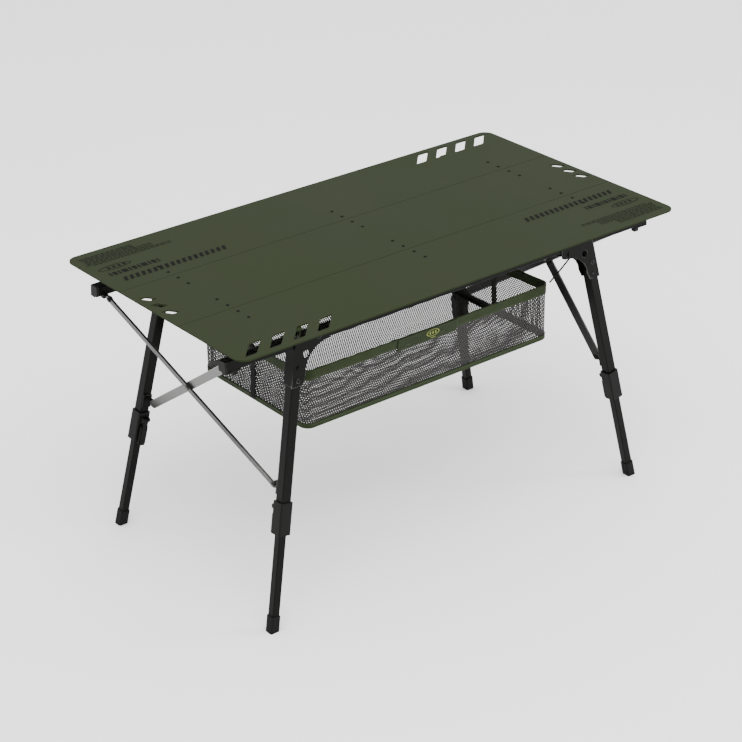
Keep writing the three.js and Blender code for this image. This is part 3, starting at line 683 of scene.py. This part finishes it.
@dataclass
class Tray:
    """The net tray: floor, wall, bound rim, hem, end straps and the patch on its front."""

    half_x: float = 0.297
    half_y: float = 0.159
    corner: float = 0.018
    bottom: float = 0.3225
    top: float = 0.4385
    band: float = 0.02
    hem: float = 0.009
    hem_under: float = 0.008
    columns: int = 720
    rows: int = 26
    strap_half: float = 0.007
    patch_x: tuple[float, float] = (-0.083, 0.062)
    patch_drop: float = 0.027
    patch_out: float = 0.0021
    mark_out: float = 0.0030
    mark_drop: float = 0.0125
    mark_half: tuple[float, float] = (0.0155, 0.0068)
    rail_side: float = 0.16
    travel_y: float = 0.03273

    def outline(self, count: int, grow: float = 0.0) -> tuple[np.ndarray, np.ndarray, np.ndarray]:
        """A rectangle with round corners, walked anticlockwise from the front end of the right side.

        On a straight a point lies back from the next corner's arc along the way of travel; on an arc it is
        the corner's centre plus the radius along the outward normal, which turns a quarter.

        Args:
            count: How many points.
            grow: How far outside the tray's own outline.

        Returns:
            The distances along it (one more than count), the points and the outward normals.
        """
        r = self.corner + grow
        hx, hy = self.half_x - self.corner, self.half_y - self.corner
        straight = np.array([2 * hy, 2 * hx, 2 * hy, 2 * hx])
        starts = np.concatenate([[0.0], np.cumsum(straight + math.pi * r / 2)])
        s = np.linspace(0, starts[-1], count, endpoint=False)
        leg = np.searchsorted(starts[1:], s, side="right")
        along = s - starts[leg]
        heading = math.pi / 2 * (leg + 1) + np.clip((along - straight[leg]) / r, 0, math.pi / 2)
        travel = np.stack([np.cos(heading), np.sin(heading)], -1)
        normal = np.stack([np.sin(heading), -np.cos(heading)], -1)
        centre = np.array([[hx, hy], [-hx, hy], [-hx, -hy], [hx, -hy]])[leg]
        back = np.clip(straight[leg] - along, 0, None)[:, None]
        return np.append(s, starts[-1]), centre + r * normal - back * travel, normal

    def rim(self, xy: np.ndarray) -> np.ndarray:
        """Height of the top edge: it dips by a parabola between corners, most at the middle of each side."""
        x, y = np.abs(xy[..., 0]) / self.half_x, np.abs(xy[..., 1]) / self.half_y
        return self.top - 0.002 * np.clip(1 - x**2, 0, 1) * y**8 - 0.004 * np.clip(1 - y**2, 0, 1) * x**8

    def bow(self, xy: np.ndarray, share: np.ndarray, s: np.ndarray) -> np.ndarray:
        """How far the wall leans in at a share of its height: a half sine up the wall, a parabola along each
        side, and small upright ripples that die out at the bindings."""
        x, y = np.abs(xy[..., 0]) / self.half_x, np.abs(xy[..., 1]) / self.half_y
        slack = 0.005 * np.clip(1 - x**2, 0, 1) * y**8 + 0.004 * np.clip(1 - y**2, 0, 1) * x**8
        ripple = 0.0012 * np.sin(s * 61.0 + 1.3 * np.sin(s * 17.0)) + 0.0007 * np.sin(s * 143.0 + 2.0)
        return -np.sin(math.pi * share) * (slack + ripple)

    def wall_points(self, s: np.ndarray, xy: np.ndarray, normal: np.ndarray, share: np.ndarray,
                    out: float = 0.0) -> np.ndarray:
        """Points on the wall: the outline moved by the bow, at a share of the height up to the rim.

        Args:
            s: Distances along the outline.
            xy: Points of the outline.
            normal: Its outward normals.
            share: Shares of the height, as a column.
            out: How far outside the net.

        Returns:
            A grid of points, one row for each share.
        """
        flat = xy[None] + normal[None] * (self.bow(xy, share, s) + out)[..., None]
        z = self.bottom + (self.rim(xy)[None] - self.bottom) * share
        return np.concatenate([flat, z[..., None]], -1)

    def wall(self) -> bpy.types.Object:
        """The upright net, one strip all the way round."""
        s, xy, normal = self.outline(self.columns)
        share = np.linspace(0, 1, self.rows)[:, None]
        points = self.wall_points(s[:-1], xy, normal, share)
        uv = np.stack(np.broadcast_arrays(s[None, :], share * (self.top - self.bottom)), -1)
        return surface("net_wall", points, uv, closed=True)

    def floor(self) -> bpy.types.Object:
        """The net floor: the outline drawn in to its middle, as a shallow dish with soft waves.

        One raised crease, with the profile of a bell curve, wanders along it by a sine.
        """
        _, xy, _ = self.outline(self.columns // 2)
        share = np.linspace(1.0, 0.004, 60)[:, None]
        flat = xy[None] * share[..., None]
        x, y = flat[..., 0] / self.half_x, flat[..., 1] / self.half_y
        dish = 0.008 * np.clip(1 - x**2, 0, 1) * np.clip(1 - y**2, 0, 1)
        wave = np.sin(7.0 * x + 2.4 * y) * 0.0024 + np.sin(4.1 * x - 5.0 * y + 0.7) * 0.002
        crease = 0.007 * np.exp(-((y - 0.25 * np.sin(3.0 * x) - 0.1) / 0.09)**2) * (1 - x**2)
        z = self.bottom - dish + (wave + crease) * np.clip(1 - share**4, 0, 1)
        points = np.concatenate([flat, z[..., None]], -1)
        uv = np.concatenate([flat, flat[:, :1]], 1)
        return surface("net_floor", points, uv, closed=True)

    def rim_band(self) -> bpy.types.Object:
        """The binding folded over the top edge: up the outside, over in a half circle, down the inside."""
        s, xy, normal = self.outline(self.columns)
        fold = 0.0011
        drop = np.linspace(self.band, 0.001, 9)
        arc = np.linspace(0, math.pi, 7)[1:-1]
        out = np.concatenate([np.full(9, fold), fold * np.cos(arc), np.full(9, -fold)])
        below = np.concatenate([drop, 0.001 - fold * np.sin(arc), drop[::-1]])
        high = self.rim(xy)
        share = (high[None] - below[:, None] - self.bottom) / (high[None] - self.bottom)
        inner = np.clip(share, 0, 1)
        flat = xy[None] + normal[None] * (self.bow(xy, inner, s[:-1]) + out[:, None])[..., None]
        points = np.concatenate([flat, (high[None] - below[:, None])[..., None]], -1)
        width = np.concatenate([[0.0], np.cumsum(np.hypot(np.diff(out), np.diff(below)))])
        uv = np.stack(np.broadcast_arrays(s[None, :], width[:, None]), -1)
        return thicken(surface("rim_band", points, uv, closed=True), 0.0006, 0.0)

    def hem_band(self) -> bpy.types.Object:
        """The binding round the bottom edge: down the outside of the wall, round, and in under the floor."""
        s, xy, normal = self.outline(self.columns)
        arc = np.linspace(0, math.pi / 2, 5)
        r = 0.0018
        out = np.concatenate([np.full(5, 0.0012), 0.0012 - r + r * np.cos(arc[1:]),
                              np.linspace(0.0012 - r, -self.hem_under, 6)[1:]])
        up = np.concatenate([np.linspace(self.hem, 0, 5), -r * np.sin(arc[1:]), np.full(5, -r)])
        flat = xy[None] + normal[None] * out[:, None, None]
        z = np.broadcast_to((self.bottom + up)[:, None], flat.shape[:2])
        points = np.concatenate([flat, z[..., None]], -1)
        width = np.concatenate([[0.0], np.cumsum(np.hypot(np.diff(out), np.diff(up)))])
        uv = np.stack(np.broadcast_arrays(s[None, :], width[:, None]), -1)
        return thicken(surface("hem_band", points, uv, closed=True), 0.0007, 0.0)

    def strap(self, end: End) -> bpy.types.Object:
        """Upright webbing on the middle of an end wall, just outside the bindings, slack by half a sine."""
        v = np.linspace(0, 1, 24)[:, None]
        y = np.linspace(-self.strap_half, self.strap_half, 7)[None, :]
        height = self.top - 0.004 - self.bottom
        x = self.half_x + 0.0023 - 0.0025 * np.sin(math.pi * v) + 0 * y
        z = self.bottom + 0.001 + height * v + 0 * y
        points = np.stack([end.value * x, end.value * y + 0 * v, z], -1)
        uv = np.stack(np.broadcast_arrays(y, v * height), -1)
        return thicken(surface(f"tray_strap_{end.label}", points, uv), 0.0014, 0.0)

    def patch(self) -> bpy.types.Object:
        """The wide cloth patch under the middle of the front rim."""
        x = np.linspace(*self.patch_x, 60)
        xy = np.stack([x, np.full(60, -self.half_y)], -1)
        normal = np.broadcast_to([0.0, -1.0], xy.shape)
        below = np.linspace(self.patch_drop, 0.001, 12)[:, None]
        high = self.rim(xy)[None]
        share = (high - below - self.bottom) / (high - self.bottom)
        points = self.wall_points(x, xy, normal, share, self.patch_out)
        points[..., 1] = -self.half_y - self.patch_out - self.bow(xy, share, 0 * x)
        uv = np.stack(np.broadcast_arrays(x[None, :], self.patch_drop - below), -1)
        return thicken(surface("front_patch", points, uv), 0.0007, 0.0)

    def patch_mark(self) -> bpy.types.Object:
        """A plain woven mark on the patch: an oval ring with three short bars inside and one below."""
        middle_x, middle_z = 0.0, self.top - self.mark_drop
        face = -self.half_y - self.mark_out
        half_x, half_z = self.mark_half
        angle = np.linspace(0, TAU, 64, endpoint=False)
        ring = []
        for reach in (1.0, 0.86):
            ring.append(np.stack([middle_x + half_x * reach * np.cos(angle), np.full(64, face),
                                  middle_z + half_z * (reach - 0.02) * np.sin(angle)], -1))
        grid = np.stack(ring)
        uv = np.concatenate([grid[..., [0, 2]], grid[:, :1, [0, 2]]], 1)
        parts = [surface("ring", grid, uv, closed=True)]
        uprights = [(x, 0, 0.003, 0.0055) for x in (-0.0065, 0, 0.0065)]
        for x, z, wide, tall in (*uprights, (0, -0.0095, 0.011, 0.0012)):
            u = middle_x + x + np.array([-wide, wide]) / 2
            v = middle_z + z + np.array([-tall, tall]) / 2
            xx, zz = np.meshgrid(u, v)
            bar = np.stack([xx, np.full_like(xx, face), zz], -1)
            parts.append(surface("bar", bar, bar[..., [0, 2]]))
        return merge("patch_mark", parts)

    def settle(self, piece: bpy.types.Object, material: bpy.types.Material) -> bpy.types.Object:
        """Dresses a piece and makes it go with the front rail.

        It moves with that rail as one rigid piece.

        Args:
            piece: The piece.
            material: Its finish.

        Returns:
            The piece.
        """
        dress(piece, material)
        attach(piece, "front_rail")
        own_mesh(piece)
        return piece

    def build(self) -> None:
        net, binding = NetFinish().build(), OLIVE_BINDING.build()
        wall = self.settle(self.wall(), net)
        ground = self.settle(self.floor(), net)
        rim = self.settle(self.rim_band(), binding)
        hem = self.settle(self.hem_band(), OLIVE_HEM.build())
        webbing = BLACK_WEBBING.build()
        straps = [self.settle(self.strap(end), webbing) for end in End]
        patch = self.settle(self.patch(), OLIVE_PATCH.build())
        mark = self.settle(self.patch_mark(), PATCH_THREAD.build())
        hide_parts("tray_net")
        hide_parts("tray_binding")


@dataclass
class Printing:
    """Plain dark markings at two opposite corners of the top: slanted and upright bars, an oval, dashes."""

    height: float = 0.57215
    seed: int = 7

    @staticmethod
    def bars(x: tuple[float, float], y: tuple[float, float], widths: np.ndarray, gap: float,
             slant: float = 0.0) -> np.ndarray:
        """A row of bars between two x, its widths repeated in turn, all as tall as the row.

        Args:
            x: Where the row starts and must end.
            y: Its lower and upper edges.
            widths: The bars' widths, used again and again.
            gap: The space between bars.
            slant: How far a bar's top is shifted along x.

        Returns:
            The bars' corners, n by 4 by 2.
        """
        many = np.tile(widths, 200)
        start = x[0] + np.concatenate([[0.0], np.cumsum(many[:-1] + gap)])
        keep = start + many <= x[1]
        a, b = start[keep], (start + many)[keep]
        low, high = np.full_like(a, y[0]), np.full_like(a, y[1])
        return np.stack([np.stack([a, low], -1), np.stack([b, low], -1), np.stack([b + slant, high], -1),
                         np.stack([a + slant, high], -1)], 1)

    def corner(self) -> np.ndarray:
        """All quads of the marking at the front right corner, n by 4 by 2."""
        rng = np.random.default_rng(self.seed)
        rows = [self.bars((0.252, 0.488), (-0.141, -0.124), np.array([0.0075]), 0.0052, 0.006),
                self.bars((0.382, 0.496), (-0.171, -0.157), np.array([0.004, 0.008, 0.004, 0.012]), 0.0035)]
        angle = np.linspace(0, TAU, 49)
        ring = [np.stack([0.461 + a * np.cos(angle), -0.1905 + b * np.sin(angle)], -1)
                for a, b in ((0.035, 0.0095), (0.0325, 0.0072))]
        rows.append(np.stack([ring[0][:-1], ring[0][1:], ring[1][1:], ring[1][:-1]], 1))
        rows.append(self.bars((0.438, 0.487), (-0.1945, -0.1865), np.array([0.006]), 0.005))
        for k, start in enumerate((0.318, 0.318, 0.352, 0.352, 0.352, 0.385, 0.385, 0.385)):
            y = -0.218 - 0.0052 * k
            widths = rng.uniform(0.004, 0.013, 23)
            rows.append(self.bars((start, 0.503), (y - 0.0013, y + 0.0013), widths, 0.0022))
        return np.concatenate(rows)

    def sheet(self, name: str, turn: int) -> bpy.types.Object:
        """Lays the marking on the top; turn is 1 as it is, or -1 turned half a turn about the centre.

        Args:
            name: The piece's name.
            turn: Which corner.

        Returns:
            The new object, all faces up.
        """
        flat = self.corner() * turn
        first, second = flat[:, 1] - flat[:, 0], flat[:, 2] - flat[:, 0]
        down = first[:, 0] * second[:, 1] - first[:, 1] * second[:, 0] < 0
        flat[down] = flat[down][:, ::-1]
        points = np.concatenate([flat, np.full((*flat.shape[:2], 1), self.height)], -1)
        faces = np.arange(len(flat) * 4).reshape(-1, 4)
        return mesh_object(name, points, faces, flat.reshape(-1, 2), smooth=False)

    def build(self) -> None:
        """Makes both markings; each rides on its own panel."""
        ink = INK.build()
        for name, turn, body in (("marking_front", 1, "front_panel"), ("marking_rear", -1, "rear_panel")):
            piece = dress(self.sheet(name, turn), ink)
            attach(piece, body)
            log.info("%s, %d marks", name, len(piece.data.polygons))


@dataclass
class Rivets:
    """The dark, slightly domed heads of the rivets that hold the hinge leaves, four to each hinge."""

    columns: tuple[float, ...] = (-0.4, 0.0, 0.4)
    seam: float = 0.0917
    offsets: tuple[float, float] = (0.0158, 0.0473)
    radius: float = 0.0034
    base: float = 0.57205
    rise: float = 0.0013
    sides: int = 20

    def heads(self, name: str, centres: np.ndarray) -> bpy.types.Object:
        """Makes all the heads of one panel at once.

        A head is rings about its centre. At share q of the radius its height is rise * sqrt(1 - 0.98 q^2),
        and the first, outermost ring lies on the sheet.

        Args:
            name: The piece's name.
            centres: The heads' places, n by 2.

        Returns:
            The new object.
        """
        share = np.array([1.0, 1.0, 0.93, 0.78, 0.56, 0.3, 0.02])
        lift = self.rise * np.sqrt(1 - 0.98 * share**2)
        lift[0] = 0.0
        angle = np.arange(self.sides) * TAU / self.sides
        ring = share[:, None] * self.radius
        height = self.base + lift[:, None]
        one = np.stack(np.broadcast_arrays(ring * np.cos(angle), ring * np.sin(angle), height), -1)
        rows = len(share)
        shift = np.concatenate([centres, np.zeros((len(centres), 1))], 1)
        points = one[None] + shift[:, None, None]
        i, j = np.meshgrid(np.arange(rows - 1), np.arange(self.sides), indexing="ij")
        k = (j + 1) % self.sides
        quads = np.stack([i, i, i + 1, i + 1], -1) * self.sides + np.stack([j, k, k, j], -1)
        quads = quads.reshape(-1, 4)[None] + (np.arange(len(centres)) * rows * self.sides)[:, None, None]
        return mesh_object(name, points, quads.reshape(-1, 4))

    def build(self) -> None:
        """Makes the heads of the three panels; each set rides on its own panel."""
        dark = RIVET_HEAD.build()
        inner = [self.seam - d for d in self.offsets]
        outer = [self.seam + d for d in self.offsets]
        rows = {
            "middle": inner + [-y for y in inner],
            "rear_panel": outer,
            "front_panel": [-y for y in outer],
        }
        for body, ys in rows.items():
            x, y = np.meshgrid(self.columns, ys)
            centres = np.stack([x.ravel(), y.ravel()], -1)
            piece = dress(self.heads(f"rivet_heads_{body}", centres), dark)
            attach(piece, body)
            log.info("%d rivet heads on %s", x.size, body)


@dataclass
class Hardware:
    """The carried-over metal and plastic nodes, each dressed in its finish by the start of its name."""

    finishes: dict[str, HardFinish] = field(default_factory=lambda: {
        "panel": OLIVE_COAT,
        "rail_cap": BLACK_PLASTIC,
        "rail": BLACK_COAT,
        "leg": BLACK_COAT,
        "clevis": BLACK_COAT,
        "collar": BLACK_PLASTIC,
        "lever": BLACK_PLASTIC,
        "swivel": BLACK_PLASTIC,
        "foot": FOOT_RUBBER,
        # Only the bar to the rear left leg is grey; its mirror twin at the right end keeps the dark finish,
        # which there is painted shade.
        "brace_bar_to_rear_left": BAR_GREY,
        "brace_bar": BAR_DARK_AND_SHADED,
        "brace_rivet": PIN_STEEL,
        "hinge_pin": PIN_STEEL,
    })

    def build(self) -> None:
        """Dresses every node whose name starts with one of the words; the first word that fits holds."""
        made = {start: finish.build() for start, finish in self.finishes.items()}
        for name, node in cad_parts.items():
            start = next((word for word in made if name.startswith(word)), None)
            if start is not None:
                dress(node, made[start])
        log.info("dressed %d kinds of hardware", len(made))


def main() -> None:
    """Builds the studio, the cords, the tray, the markings and the hardware's finishes, in that order."""
    logging.basicConfig(level=logging.INFO, format="%(name)s: %(message)s")
    Groups.build()
    Studio().build()
    Cords().build(BLACK_BRAID.build())
    Tray().build()
    Printing().build()
    Rivets().build()
    Hardware().build()


if __name__ == "__main__":
    main()
